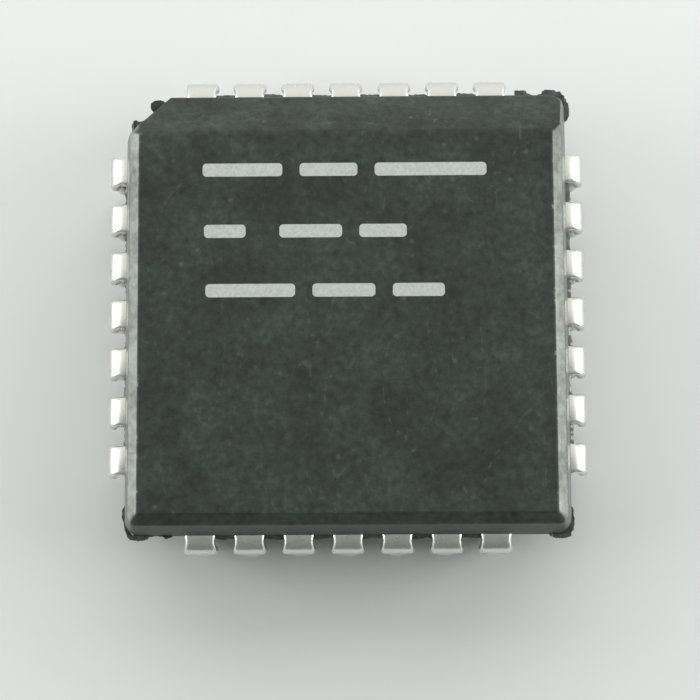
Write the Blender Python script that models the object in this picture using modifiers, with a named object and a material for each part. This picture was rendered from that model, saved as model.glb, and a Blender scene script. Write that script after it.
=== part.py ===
"""A 28-lead plastic leaded chip carrier: moulded body, J leads and what the resin holds inside.

Metres, +Z up. The origin is under the middle of the body, on the plane that the leads stand on.
The bevelled side, which holds pin 1 at its middle, faces +Y, and the pin-1 corner is at -X, +Y.
"""

import math
import random

import bmesh
import bpy
from mathutils import Matrix, Vector

MM = 0.001

# Moulded body
CORNER_MARGIN = 1.94 * MM  # middle of a side's last lead to the body's next side
BODY_TOP = 4.37 * MM  # top face over the seating plane
STANDOFF = 0.55 * MM  # underside over the seating plane
UPPER_DRAFT = math.radians(10)
LOWER_DRAFT = math.radians(8)
EDGE_BREAK = 0.22 * MM  # worn edge of the top cavity, as high as it is wide
CORNER_RADIUS = 0.40 * MM  # at the lead frame
TOP_CORNER_RADIUS = 0.18 * MM
BOTTOM_CORNER_RADIUS = 0.28 * MM
CORNER_FACETS = 4
PIN_CORNER_CHAMFER = 1.14 * MM
PIN_SIDE_BEVEL = 1.16 * MM  # 45 degrees, along the whole +Y side

# Underside
POCKET_WIDTH = 0.80 * MM
POCKET_REACH = 0.12 * MM  # past the tip of the lead, towards the middle
POCKET_DEPTH = 0.40 * MM
EJECTOR_RADIUS = 0.90 * MM
EJECTOR_DEPTH = 0.06 * MM
EJECTOR_FACETS = 24

# Stamped lead frame
FRAME_Z = 2.67 * MM  # middle of the sheet
FRAME_THICKNESS = 0.25 * MM
LEADS_PER_SIDE = 7
LEAD_PITCH = 1.27 * MM
LEAD_PROTRUSION = 0.475 * MM  # outer face of a leg, past the body
EXIT_WIDTH = 0.76 * MM
DAM_WIDTH = 0.88 * MM  # over the stubs of the cut dam bar
DAM_OFFSET = 0.10 * MM  # where the stubs start, past the body
SHOULDER_WIDTH = 0.72 * MM
SHOULDER_DROP = 0.42 * MM  # how far the wide shoulder runs down the leg
SHOULDER_TAPER = 0.16 * MM
FOOT_WIDTH = 0.43 * MM
SHOULDER_RADIUS = 0.225 * MM  # middle of the sheet
FOOT_RADIUS = 0.775 * MM  # middle of the sheet
BEND_STEP = math.radians(18)  # a whole share of 90 degrees, so one facet of the foot lies flat
SHOULDER_STEPS = 5
FOOT_STEPS = 8

# Inner fingers
TIP_WIDTH = 0.30 * MM
TIP_GAP = 0.45 * MM  # paddle to finger tips
TIP_RUN = 0.35 * MM  # straight part under the bond
FINGER_RUN = 0.65 * MM  # straight part inside the body's edge
FINGER_WIDTH = 0.60 * MM
FINGER_SPACE = 0.16 * MM  # corner fingers to the tie bars

# Die, its paddle and tie bars
DIE_SIZE = 2.60 * MM
DIE_THICKNESS = 0.30 * MM
ATTACH_MARGIN = 0.08 * MM  # fillet of adhesive round the die
ATTACH_THICKNESS = 0.03 * MM
PADDLE_MARGIN = 0.50 * MM
PADDLE_DOWNSET = 0.20 * MM
DOWNSET_START = 0.25 * MM  # from the paddle, along a tie bar
DOWNSET_RUN = 0.30 * MM
TIE_WIDTH = 0.30 * MM

# Bond wires
WIRE_RADIUS = 0.0165 * MM
PAD_INSET = 0.12 * MM  # bond pads from the die's edge
PAD_CORNER = 0.22 * MM  # last pad of a side to the next side's row
BALL_FACTOR = 2.0
BALL_HEIGHT = 0.030 * MM
LOOP_HEIGHT = 0.20 * MM
LOOP_LEAN = 0.025 * MM  # how far a wire leans out on its way up
LOOP_RUN = 0.40 * MM  # level top of the loop
STITCH_INSET = 0.20 * MM  # from the finger's tip
STITCH_LENGTH = 0.06 * MM

# Clearances
FIT = 0.012 * MM  # resin to what it holds, and one layer of the stack to the next
CUT_OVERSHOOT = 0.40 * MM  # how far a cutter runs out past the skin

# Resin flash at the lead frame
WEB_REACH = 0.13 * MM  # resin trimmed off behind the dam bar
WEB_RAGGED = 0.025 * MM
WEB_SEED = 28
FIN_THICKNESS = 0.09 * MM
FIN_ROOT = 0.90 * MM  # how far inside the corner a fin starts

# Edges of the corner fins: how far out past the body's square corner, along X and along Y
FIN_BEVEL_RIGHT = (
    (-1.30, 0.15), (-1.01, 0.16), (-0.94, 0.03), (-0.62, 0.02), (-0.57, 0.16),
    (-0.14, 0.16), (0.04, -0.04), (0.14, -0.28), (0.13, -0.60), (-0.04, -0.74),
)
FIN_FRONT_RIGHT = (
    (-0.66, -0.04), (-0.54, 0.08), (-0.23, 0.13), (0.03, 0.06), (0.09, -0.53), (-0.03, -0.79),
)
FIN_FRONT_LEFT = (
    (-1.24, 0.02), (-1.07, 0.10), (-1.01, 0.03), (-0.63, 0.02), (-0.58, 0.13), (-0.14, 0.12),
    (-0.03, -0.08), (0.10, -0.60), (-0.02, -0.78),
)
FIN_PIN_CORNER = (
    (-1.14, -0.02), (-1.01, 0.00), (-0.86, -0.13), (-0.73, -0.04), (-0.63, -0.12),
    (-0.60, -0.36), (-0.34, -0.58), (-0.18, -0.50), (-0.03, -0.82),
)

# Worked out from the sizes above
BODY_HALF = (LEADS_PER_SIDE - 1) * LEAD_PITCH / 2 + CORNER_MARGIN
FRAME_TOP = FRAME_Z + FRAME_THICKNESS / 2
FRAME_BOTTOM = FRAME_Z - FRAME_THICKNESS / 2
MIDDLE_LEAD = LEADS_PER_SIDE // 2
PADDLE_HALF = DIE_SIZE / 2 + PADDLE_MARGIN
PADDLE_Z = FRAME_Z - PADDLE_DOWNSET
ATTACH_BOTTOM = PADDLE_Z + FRAME_THICKNESS / 2 + FIT
DIE_BOTTOM = ATTACH_BOTTOM + ATTACH_THICKNESS + FIT
DIE_TOP = DIE_BOTTOM + DIE_THICKNESS
WEB_HALF = (LEAD_PITCH - DAM_WIDTH) / 2 - WEB_RAGGED
PAD_PITCH = (DIE_SIZE / 2 - PAD_INSET - PAD_CORNER) / MIDDLE_LEAD
TIP_START = PADDLE_HALF + TIP_GAP
CORNER_SPACE = math.sqrt(2) * (TIE_WIDTH / 2 + FINGER_SPACE)
TIP_PITCH = (TIP_START - CORNER_SPACE - TIP_WIDTH / 2) / MIDDLE_LEAD
LEG_R = BODY_HALF + LEAD_PROTRUSION - FRAME_THICKNESS / 2
SHOULDER_CENTRE = (LEG_R - SHOULDER_RADIUS, FRAME_Z - SHOULDER_RADIUS)
FOOT_CENTRE = (LEG_R - FOOT_RADIUS, FOOT_RADIUS + FRAME_THICKNESS / 2)


def clear_scene():
    for item in list(bpy.data.objects):
        bpy.data.objects.remove(item, do_unlink=True)


def new_collection(name):
    collection = bpy.data.collections.new(name)
    bpy.context.scene.collection.children.link(collection)
    return collection


def principled(name, color, roughness, metallic):
    material = bpy.data.materials.new(name)
    material.use_nodes = True
    shader = material.node_tree.nodes["Principled BSDF"]
    shader.inputs["Base Color"].default_value = (*color, 1.0)
    shader.inputs["Roughness"].default_value = roughness
    shader.inputs["Metallic"].default_value = metallic
    material.diffuse_color = (*color, 1.0)
    return material


def finish_mesh(mesh, name):
    """Turn a bmesh into mesh data with its faces pointing out"""
    bmesh.ops.recalc_face_normals(mesh, faces=mesh.faces)
    data = bpy.data.meshes.new(name)
    mesh.to_mesh(data)
    mesh.free()
    return data


def add_part(name, data, collection, material, turn=0.0):
    part = bpy.data.objects.new(name, data)
    part.rotation_euler.z = turn
    collection.objects.link(part)
    if not data.materials:
        data.materials.append(material)
    return part


def add_cutter(name, data, cutters, turn=0.0):
    cutter = bpy.data.objects.new(name, data)
    cutter.rotation_euler.z = turn
    cutter.hide_render = True
    cutter.display_type = "WIRE"
    cutters.objects.link(cutter)
    return cutter


def boolean(part, operation, operand):
    """Cut or join a part with every solid of a collection"""
    modifier = part.modifiers.new(operation.lower(), "BOOLEAN")
    modifier.operation = operation
    modifier.solver = "EXACT"
    modifier.operand_type = "COLLECTION"
    modifier.collection = operand


def box_data(name, size, centre):
    mesh = bmesh.new()
    place = Matrix.Translation(centre) @ Matrix.Diagonal((*size, 1.0))
    bmesh.ops.create_cube(mesh, size=1.0, matrix=place)
    return finish_mesh(mesh, name)


def outline_solid(name, points, low, thickness):
    """A flat outline with thickness, as mesh data"""
    curve = bpy.data.curves.new(name, "CURVE")
    curve.dimensions = "2D"
    curve.fill_mode = "BOTH"
    curve.extrude = thickness / 2
    spline = curve.splines.new("POLY")
    spline.points.add(len(points) - 1)
    for knot, (x, y) in zip(spline.points, points):
        knot.co = (x, y, 0, 1)
    spline.use_cyclic_u = True
    source = bpy.data.objects.new(name, curve)
    bpy.context.scene.collection.objects.link(source)
    bpy.context.view_layer.update()
    evaluated = source.evaluated_get(bpy.context.evaluated_depsgraph_get())
    flat = bpy.data.meshes.new_from_object(evaluated)
    bpy.data.objects.remove(source, do_unlink=True)
    mesh = bmesh.new()
    mesh.from_mesh(flat)
    bmesh.ops.remove_doubles(mesh, verts=mesh.verts, dist=0.001 * MM)
    bmesh.ops.translate(mesh, verts=mesh.verts, vec=(0, 0, low + thickness / 2))
    return finish_mesh(mesh, name)


def body_ring(inset, radius, z):
    """The body's plan outline at one height, drawn in by a draft's inset"""
    half = BODY_HALF - inset
    chamfer = PIN_CORNER_CHAMFER - inset * (2 - math.sqrt(2))
    ring = []
    for quarter in range(4):
        turn = Matrix.Rotation(quarter * math.pi / 2, 3, "Z")
        if quarter == 1:
            corner = [(half, half - chamfer), (half - chamfer, half)]
        else:
            angles = [math.pi / 2 * i / CORNER_FACETS for i in range(CORNER_FACETS + 1)]
            corner = [
                (half - radius + radius * math.cos(a), half - radius + radius * math.sin(a))
                for a in angles
            ]
        ring += [turn @ Vector((x, y, z)) for x, y in corner]
    return ring


def moulding_data():
    """The two drafted halves of the moulding, with the bevel along the pin-1 side"""
    upper_inset = (BODY_TOP - EDGE_BREAK - FRAME_TOP) * math.tan(UPPER_DRAFT)
    lower_inset = (FRAME_BOTTOM - STANDOFF) * math.tan(LOWER_DRAFT)
    rings = [
        body_ring(lower_inset, BOTTOM_CORNER_RADIUS, STANDOFF),
        body_ring(0, CORNER_RADIUS, FRAME_BOTTOM),
        body_ring(0, CORNER_RADIUS, FRAME_TOP),
        body_ring(upper_inset, TOP_CORNER_RADIUS + EDGE_BREAK / 2, BODY_TOP - EDGE_BREAK),
        body_ring(upper_inset + EDGE_BREAK, TOP_CORNER_RADIUS, BODY_TOP),
    ]
    mesh = bmesh.new()
    loops = [[mesh.verts.new(point) for point in ring] for ring in rings]
    for lower, upper in zip(loops, loops[1:]):
        for i in range(len(lower)):
            mesh.faces.new((lower[i - 1], lower[i], upper[i], upper[i - 1]))
    mesh.faces.new(loops[0])
    mesh.faces.new(loops[-1])
    bmesh.ops.recalc_face_normals(mesh, faces=mesh.faces)
    bevel_top = Vector((0, bevel_edge_y(), BODY_TOP))
    bmesh.ops.bisect_plane(
        mesh,
        geom=mesh.verts[:] + mesh.edges[:] + mesh.faces[:],
        dist=0.0001 * MM,
        plane_co=bevel_top,
        plane_no=Vector((0, 1, 1)).normalized(),
        clear_outer=True,
    )
    bmesh.ops.holes_fill(mesh, edges=[edge for edge in mesh.edges if edge.is_boundary])
    return finish_mesh(mesh, "moulding")


def bevel_edge_y():
    """Where the pin-side bevel meets the top face"""
    rise = BODY_TOP - PIN_SIDE_BEVEL - FRAME_TOP
    return BODY_HALF - rise * math.tan(UPPER_DRAFT) - PIN_SIDE_BEVEL


def web_outline():
    """The ragged rim of resin that the dam bar held back, all round the body"""
    rng = random.Random(WEB_SEED)
    points = []
    for quarter in range(4):
        turn = Matrix.Rotation(quarter * math.pi / 2, 3, "Z")
        for gap in range(LEADS_PER_SIDE - 1):
            middle = (gap + 0.5 - MIDDLE_LEAD) * LEAD_PITCH
            for side in (-WEB_HALF, WEB_HALF):
                out = BODY_HALF + WEB_REACH + rng.uniform(-WEB_RAGGED, WEB_RAGGED)
                points.append(turn @ Vector((out, middle + side, 0)))
        last = (LEADS_PER_SIDE - 1 - MIDDLE_LEAD) * LEAD_PITCH
        points.append(turn @ Vector((BODY_HALF + WEB_REACH, last, 0)))
        points.append(turn @ Vector((BODY_HALF - CUT_OVERSHOOT, last + DAM_WIDTH / 2, 0)))
        points.append(turn @ Vector((last + DAM_WIDTH / 2, BODY_HALF - CUT_OVERSHOOT, 0)))
        points.append(turn @ Vector((last, BODY_HALF + WEB_REACH, 0)))
    return [(point.x, point.y) for point in points]


def fin_outline(edge, x_side, y_side):
    """A corner fin: its ragged outer edge, closed by a corner inside the body"""
    inside = BODY_HALF - FIN_ROOT
    first = (BODY_HALF + edge[0][0] * MM, inside)
    last = (inside, BODY_HALF + edge[-1][1] * MM)
    points = [first] + [(BODY_HALF + x * MM, BODY_HALF + y * MM) for x, y in edge] + [last]
    return [(x * x_side, y * y_side) for x, y in points]


def arc_corners(centre, radius, first, count):
    """Corners of straight facets that each touch a bend, from one angle downwards"""
    reach = radius / math.cos(BEND_STEP / 2)
    angles = [first - BEND_STEP * (i + 0.5) for i in range(count)]
    return [(centre[0] + reach * math.cos(a), centre[1] + reach * math.sin(a)) for a in angles]


def finger_stations(rank):
    """A lead from its tip to its dam bar stubs: distance out, height, sideways place, half width"""
    tip = rank * TIP_PITCH
    slot = rank * LEAD_PITCH
    return [
        (TIP_START, FRAME_Z, tip, TIP_WIDTH / 2),
        (TIP_START + TIP_RUN, FRAME_Z, tip, TIP_WIDTH / 2),
        (BODY_HALF - FINGER_RUN, FRAME_Z, slot, FINGER_WIDTH / 2),
        (BODY_HALF, FRAME_Z, slot, EXIT_WIDTH / 2),
        (BODY_HALF + DAM_OFFSET, FRAME_Z, slot, DAM_WIDTH / 2),
    ]


def lead_stations(rank):
    """A whole lead: its inner finger, the shoulder, the leg and the foot turned in under the body"""
    slot = rank * LEAD_PITCH
    stations = finger_stations(rank)
    shoulder = arc_corners(SHOULDER_CENTRE, SHOULDER_RADIUS, math.pi / 2, SHOULDER_STEPS)
    widths = [DAM_WIDTH] * (SHOULDER_STEPS - 1) + [SHOULDER_WIDTH]
    stations += [(r, z, slot, width / 2) for (r, z), width in zip(shoulder, widths)]
    drop = SHOULDER_CENTRE[1] - SHOULDER_DROP
    stations.append((LEG_R, drop, slot, SHOULDER_WIDTH / 2))
    stations.append((LEG_R, drop - SHOULDER_TAPER, slot, FOOT_WIDTH / 2))
    foot = arc_corners(FOOT_CENTRE, FOOT_RADIUS, 0.0, FOOT_STEPS + 1)
    stations += [(r, z, slot, FOOT_WIDTH / 2) for r, z in foot]
    return stations


def strip_data(name, stations):
    """The middle surface of a formed strip, one face from each station to the next"""
    mesh = bmesh.new()
    last = len(stations) - 1
    bmesh.ops.create_grid(mesh, x_segments=last, y_segments=1, size=1.0)
    for vert in mesh.verts:
        r, z, sideways, half = stations[round((vert.co.x + 1) / 2 * last)]
        vert.co = (r, sideways + math.copysign(half, vert.co.y), z)
    return finish_mesh(mesh, name)


def thicken(part, thickness):
    modifier = part.modifiers.new("sheet", "SOLIDIFY")
    modifier.thickness = thickness
    modifier.offset = 0.0
    modifier.use_even_offset = True
    return part


def finger_slot_stations(rank):
    """The hole in the resin for a lead: its inner part and exit, with clearance all round"""
    wider = [(r, z, sideways, half + FIT) for r, z, sideways, half in finger_stations(rank)]
    tip = wider[0]
    wider[0] = (tip[0] - FIT, *tip[1:])
    outer = wider[-1]
    wider.append((outer[0] + CUT_OVERSHOOT, *outer[1:]))
    return wider


def wire_path(rank, extra):
    """Points of a bond wire from the die's pad to the stitch: place and radius factor"""
    pad = Vector((DIE_SIZE / 2 - PAD_INSET, rank * PAD_PITCH, DIE_TOP + FIT - extra))
    stitch_z = FRAME_TOP + FIT + WIRE_RADIUS
    stitch = Vector((TIP_START + STITCH_INSET, rank * TIP_PITCH, stitch_z))
    along = Vector((stitch.x - pad.x, stitch.y - pad.y, 0)).normalized()
    ball_top = DIE_TOP + FIT + BALL_HEIGHT
    loop_top = DIE_TOP + LOOP_HEIGHT
    return [
        (pad, BALL_FACTOR),
        (Vector((pad.x, pad.y, ball_top)), BALL_FACTOR),
        (Vector((pad.x, pad.y, ball_top + BALL_HEIGHT)), 1.0),
        (Vector((pad.x, pad.y, loop_top)) + along * LOOP_LEAN, 1.0),
        (Vector((pad.x, pad.y, loop_top)) + along * LOOP_RUN, 1.0),
        (stitch, 1.0),
        (stitch + along * (STITCH_LENGTH + extra), 1.0),
    ]


def wire_curve(name, rank, radius, extra=0.0):
    curve = bpy.data.curves.new(name, "CURVE")
    curve.dimensions = "3D"
    curve.bevel_depth = radius
    curve.bevel_resolution = 0
    curve.use_fill_caps = True
    path = wire_path(rank, extra)
    spline = curve.splines.new("POLY")
    spline.points.add(len(path) - 1)
    for knot, (place, factor) in zip(spline.points, path):
        knot.co = (*place, 1)
        knot.radius = factor
    return curve


def wire_tunnel_data(name, rank):
    """The hole in the resin for a bond wire"""
    curve = wire_curve(name, rank, WIRE_RADIUS + FIT * math.sqrt(2), FIT)
    source = bpy.data.objects.new(name, curve)
    bpy.context.scene.collection.objects.link(source)
    bpy.context.view_layer.update()
    evaluated = source.evaluated_get(bpy.context.evaluated_depsgraph_get())
    tube = bpy.data.meshes.new_from_object(evaluated)
    bpy.data.objects.remove(source, do_unlink=True)
    mesh = bmesh.new()
    mesh.from_mesh(tube)
    bmesh.ops.remove_doubles(mesh, verts=mesh.verts, dist=0.0005 * MM)
    return finish_mesh(mesh, name)


def paddle_data(name, grow):
    """The die paddle and its four downset tie bars, as the middle surface of one stamping"""
    half = PADDLE_HALF + grow
    bar = TIE_WIDTH / 2 + grow
    corner_cut = bar * math.sqrt(2)
    mesh = bmesh.new()
    octagon = []
    for quarter in range(4):
        turn = Matrix.Rotation(quarter * math.pi / 2, 3, "Z")
        for x, y in ((half, half - corner_cut), (half - corner_cut, half)):
            octagon.append(mesh.verts.new(turn @ Vector((x, y, PADDLE_Z))))
    mesh.faces.new(octagon)
    corner = PADDLE_HALF * math.sqrt(2) - TIE_WIDTH / 2
    bends = (
        (corner + DOWNSET_START, PADDLE_Z),
        (corner + DOWNSET_START + DOWNSET_RUN, FRAME_Z),
    )
    for quarter in range(4):
        diagonal = Vector((1, 1, 0)).normalized()
        across = Vector((-1, 1, 0)).normalized() * bar
        end = tie_end(quarter) + grow
        turn = Matrix.Rotation(quarter * math.pi / 2, 3, "Z")
        edge = [octagon[2 * quarter], octagon[2 * quarter + 1]]
        for reach, height in (*bends, (end, FRAME_Z)):
            middle = diagonal * reach + Vector((0, 0, height))
            following = [mesh.verts.new(turn @ (middle + side)) for side in (-across, across)]
            mesh.faces.new((edge[0], following[0], following[1], edge[1]))
            edge = following
    return finish_mesh(mesh, name)


def tie_end(quarter):
    """Where a tie bar is cut off: flush with the resin of its corner"""
    if quarter == 1:
        return (2 * BODY_HALF - PIN_CORNER_CHAMFER) / math.sqrt(2)
    return BODY_HALF * math.sqrt(2) - CORNER_RADIUS * (math.sqrt(2) - 1)


def build_leads(collection, cutters, tin):
    for rank in range(-MIDDLE_LEAD, LEADS_PER_SIDE - MIDDLE_LEAD):
        data = strip_data("lead_strip", lead_stations(rank))
        slot = strip_data("lead_slot", finger_slot_stations(rank))
        for side in range(4):
            turn = side * math.pi / 2
            name = "lead_%02d" % pin_number(side, rank)
            thicken(add_part(name, data, collection, tin, turn), FRAME_THICKNESS)
            thicken(add_cutter("slot_" + name, slot, cutters, turn), FRAME_THICKNESS + 2 * FIT)


def pin_number(side, rank):
    """Pins run anticlockwise from the middle of the +Y side, side 1"""
    total = 4 * LEADS_PER_SIDE
    from_pin_one = (side - 1) * LEADS_PER_SIDE + rank
    return from_pin_one % total + 1


def build_wires(collection, cutters, gold):
    for rank in range(-MIDDLE_LEAD, LEADS_PER_SIDE - MIDDLE_LEAD):
        curve = wire_curve("wire_curve", rank, WIRE_RADIUS)
        tunnel = wire_tunnel_data("wire_tunnel", rank)
        for side in range(4):
            turn = side * math.pi / 2
            number = pin_number(side, rank)
            add_part("bond_wire_%02d" % number, curve, collection, gold, turn)
            add_cutter("tunnel_%02d" % number, tunnel, cutters, turn)


def build_die_stack(collection, cutters, tin, silicon, epoxy):
    paddle = add_part("die_paddle", paddle_data("paddle", 0.0), collection, tin)
    thicken(paddle, FRAME_THICKNESS)
    hollow = add_cutter("paddle_hollow", paddle_data("paddle_hollow", FIT), cutters)
    thicken(hollow, FRAME_THICKNESS + 2 * FIT)
    attach_size = DIE_SIZE + 2 * ATTACH_MARGIN
    layers = (
        ("die_attach", attach_size, ATTACH_BOTTOM, ATTACH_THICKNESS, epoxy),
        ("silicon_die", DIE_SIZE, DIE_BOTTOM, DIE_THICKNESS, silicon),
    )
    for name, size, bottom, thickness, material in layers:
        middle = (0, 0, bottom + thickness / 2)
        add_part(name, box_data(name, (size, size, thickness), middle), collection, material)
        grown = (size + 2 * FIT, size + 2 * FIT, thickness + 2 * FIT)
        add_cutter(name + "_hollow", box_data(name + "_hollow", grown, middle), cutters)


def cut_underside(cutters):
    """A pocket for the tip of each lead, open to the side, and one ejector mark"""
    foot = arc_corners(FOOT_CENTRE, FOOT_RADIUS, 0.0, FOOT_STEPS + 1)
    inner = foot[-1][0] - FRAME_THICKNESS / 2 - POCKET_REACH
    outer = BODY_HALF + CUT_OVERSHOOT
    top = STANDOFF + POCKET_DEPTH
    bottom = STANDOFF - CUT_OVERSHOOT
    for rank in range(-MIDDLE_LEAD, LEADS_PER_SIDE - MIDDLE_LEAD):
        size = (outer - inner, POCKET_WIDTH, top - bottom)
        middle = ((outer + inner) / 2, rank * LEAD_PITCH, (top + bottom) / 2)
        data = box_data("pocket", size, middle)
        for side in range(4):
            add_cutter("pocket_%d_%d" % (side, rank), data, cutters, side * math.pi / 2)
    mesh = bmesh.new()
    bmesh.ops.create_cone(
        mesh,
        cap_ends=True,
        segments=EJECTOR_FACETS,
        radius1=EJECTOR_RADIUS,
        radius2=EJECTOR_RADIUS,
        depth=2 * EJECTOR_DEPTH,
        matrix=Matrix.Translation((0, 0, STANDOFF)),
    )
    add_cutter("ejector_mark", finish_mesh(mesh, "ejector_mark"), cutters)


def build_body(collection, cutters, flash, resin):
    web = outline_solid("web", web_outline(), FRAME_BOTTOM, FRAME_THICKNESS)
    add_cutter("flash_web", web, flash)
    corners = (
        ("fin_bevel_right", FIN_BEVEL_RIGHT, 1, 1),
        ("fin_front_right", FIN_FRONT_RIGHT, 1, -1),
        ("fin_front_left", FIN_FRONT_LEFT, -1, -1),
        ("fin_pin_corner", FIN_PIN_CORNER, -1, 1),
    )
    for name, edge, x_side, y_side in corners:
        fin = outline_solid(name, fin_outline(edge, x_side, y_side), FRAME_BOTTOM, FIN_THICKNESS)
        add_cutter(name, fin, flash)
    cut_underside(cutters)
    body = add_part("moulded_body", moulding_data(), collection, resin)
    boolean(body, "UNION", flash)
    boolean(body, "DIFFERENCE", cutters)
    return body


def main():
    clear_scene()
    parts = new_collection("plcc_chip")
    cutters = new_collection("cutters")
    flash = new_collection("flash")
    resin = principled("moulded_resin", (0.052, 0.058, 0.053), 0.62, 0.0)
    tin = principled("tin_plated_copper", (0.70, 0.70, 0.66), 0.34, 1.0)
    silicon = principled("silicon", (0.16, 0.17, 0.20), 0.20, 0.6)
    epoxy = principled("silver_epoxy", (0.45, 0.45, 0.43), 0.55, 0.3)
    gold = principled("gold_wire", (0.86, 0.62, 0.25), 0.25, 1.0)
    build_leads(parts, cutters, tin)
    build_wires(parts, cutters, gold)
    build_die_stack(parts, cutters, tin, silicon, epoxy)
    build_body(parts, cutters, flash, resin)
    bpy.context.view_layer.update()


main()
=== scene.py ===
import math
import random

import bmesh
import bpy
from mathutils import Euler, Matrix, Vector


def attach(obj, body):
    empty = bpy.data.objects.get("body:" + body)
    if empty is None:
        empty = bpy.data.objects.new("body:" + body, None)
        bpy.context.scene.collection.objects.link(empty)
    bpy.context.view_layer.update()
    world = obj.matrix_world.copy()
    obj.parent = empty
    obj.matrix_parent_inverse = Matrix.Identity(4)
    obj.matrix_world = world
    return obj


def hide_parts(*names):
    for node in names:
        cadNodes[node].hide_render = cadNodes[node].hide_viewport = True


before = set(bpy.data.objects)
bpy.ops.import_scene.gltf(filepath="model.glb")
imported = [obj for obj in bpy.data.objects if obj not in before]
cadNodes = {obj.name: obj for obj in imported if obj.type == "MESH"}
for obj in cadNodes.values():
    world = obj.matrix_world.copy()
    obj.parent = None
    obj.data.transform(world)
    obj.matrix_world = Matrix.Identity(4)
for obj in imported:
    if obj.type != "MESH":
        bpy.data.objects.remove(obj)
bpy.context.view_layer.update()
mm = 0.001
slope = Vector((0, 1, 1)).normalized()  # which way the bevel of the pin-1 side faces
print("frame loaded with", len(cadNodes), "nodes")


def hexColor(code):
    # an sRGB hex value as the linear colour that a socket takes
    parts = [int(code[i:i + 2], 16) / 255 for i in (1, 3, 5)]
    return [p / 12.92 if p <= 0.04045 else ((p + 0.055) / 1.055) ** 2.4 for p in parts] + [1.0]


def addNode(tree, kind, inputs=None, **settings):
    # an input is a plain value, another node's output, or a node for its first output
    node = tree.nodes.new(kind)
    for name, value in settings.items():
        setattr(node, name, value)
    for key, value in (inputs or {}).items():
        if isinstance(value, bpy.types.Node):
            value = value.outputs[0]
        if isinstance(value, bpy.types.NodeSocket):
            tree.links.new(value, node.inputs[key])
        else:
            node.inputs[key].default_value = value
    return node


def newMaterial(name):
    material = bpy.data.materials.new(name)
    material.use_nodes = True
    material.node_tree.nodes.clear()
    return material, material.node_tree


def closeMesh(name, bm):
    mesh = bpy.data.meshes.new(name)
    bm.to_mesh(mesh)
    bm.free()
    return mesh


def newPiece(name, mesh):
    piece = bpy.data.objects.new(name, mesh)
    bpy.context.scene.collection.objects.link(piece)
    return piece


def newTree(name, inputs):
    tree = bpy.data.node_groups.new(name, "GeometryNodeTree")
    tree.interface.new_socket("Geometry", in_out="INPUT", socket_type="NodeSocketGeometry")
    for label, value in inputs.items():
        kind = "NodeSocketInt" if isinstance(value, int) else "NodeSocketFloat"
        tree.interface.new_socket(label, in_out="INPUT", socket_type=kind).default_value = value
    tree.interface.new_socket("Material", in_out="INPUT", socket_type="NodeSocketMaterial")
    tree.interface.new_socket("Geometry", in_out="OUTPUT", socket_type="NodeSocketGeometry")
    return tree


def closeTree(tree, geometry, material):
    # every tree ends the same way, as the export keeps no instances
    real = addNode(tree, "GeometryNodeRealizeInstances", {"Geometry": geometry})
    dressed = addNode(tree, "GeometryNodeSetMaterial", {"Geometry": real, "Material": material})
    addNode(tree, "NodeGroupOutput", {0: dressed})


def useTree(piece, tree, values):
    # inputs are set by identifier, before the piece is first evaluated
    modifier = piece.modifiers.new(tree.name, "NODES")
    modifier.node_group = tree
    for item in tree.interface.items_tree:
        if item.item_type == "SOCKET" and item.in_out == "INPUT" and item.name in values:
            modifier[item.identifier] = values[item.name]


def bake(piece):
    # what the modifiers make becomes the piece's own plain mesh
    bpy.context.view_layer.update()
    graph = bpy.context.evaluated_depsgraph_get()
    mesh = bpy.data.meshes.new_from_object(piece.evaluated_get(graph), depsgraph=graph,
                                           preserve_all_data_layers=True)
    mesh.name = piece.name
    piece.modifiers.clear()
    piece.data = mesh


def treePiece(name, tree, material):
    # a piece that starts empty, as its tree makes all of it
    piece = newPiece(name, bpy.data.meshes.new(name))
    useTree(piece, tree, {"Material": material})
    bake(piece)
    return piece


def finishShading(piece, angle):
    # flat faces stay flat and only the narrow roundings shade over
    piece.data.shade_smooth()
    piece.data.set_sharp_from_angle(angle=math.radians(angle))
    weighted = piece.modifiers.new("flat faces stay flat", "WEIGHTED_NORMAL")
    weighted.keep_sharp = True
    bake(piece)


view = {
    "centre": Vector((0, 0, 2.8)) * mm,  # what the angles turn about
    "distance": 60 * mm,
    "angles": (-8.15, -0.42, 0.36),  # degrees, seen a little from the front edge
    "sensor": 36,  # mm wide
    "lens": 118.55,  # mm
    "shift": (0.00446, -0.05274),
    "clip": (1 * mm, 10),  # nearest and farthest
}


def makeCamera():
    tilt, roll, turn = (math.radians(a) for a in view["angles"])
    toCamera = (Matrix.Rotation(turn, 3, "Z") @ Matrix.Rotation(roll, 3, "Y")
                @ Matrix.Rotation(tilt, 3, "X"))
    back = toCamera.transposed()
    place = view["centre"] + back @ Vector((0, 0, view["distance"]))
    camera = bpy.data.objects.new("camera", bpy.data.cameras.new("camera"))
    camera.matrix_world = Matrix.Translation(place) @ back.to_4x4()
    camera.data.sensor_width = view["sensor"]
    camera.data.lens = view["lens"]
    camera.data.shift_x, camera.data.shift_y = view["shift"]
    camera.data.clip_start, camera.data.clip_end = view["clip"]
    bpy.context.scene.collection.objects.link(camera)
    bpy.context.scene.camera = camera


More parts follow.
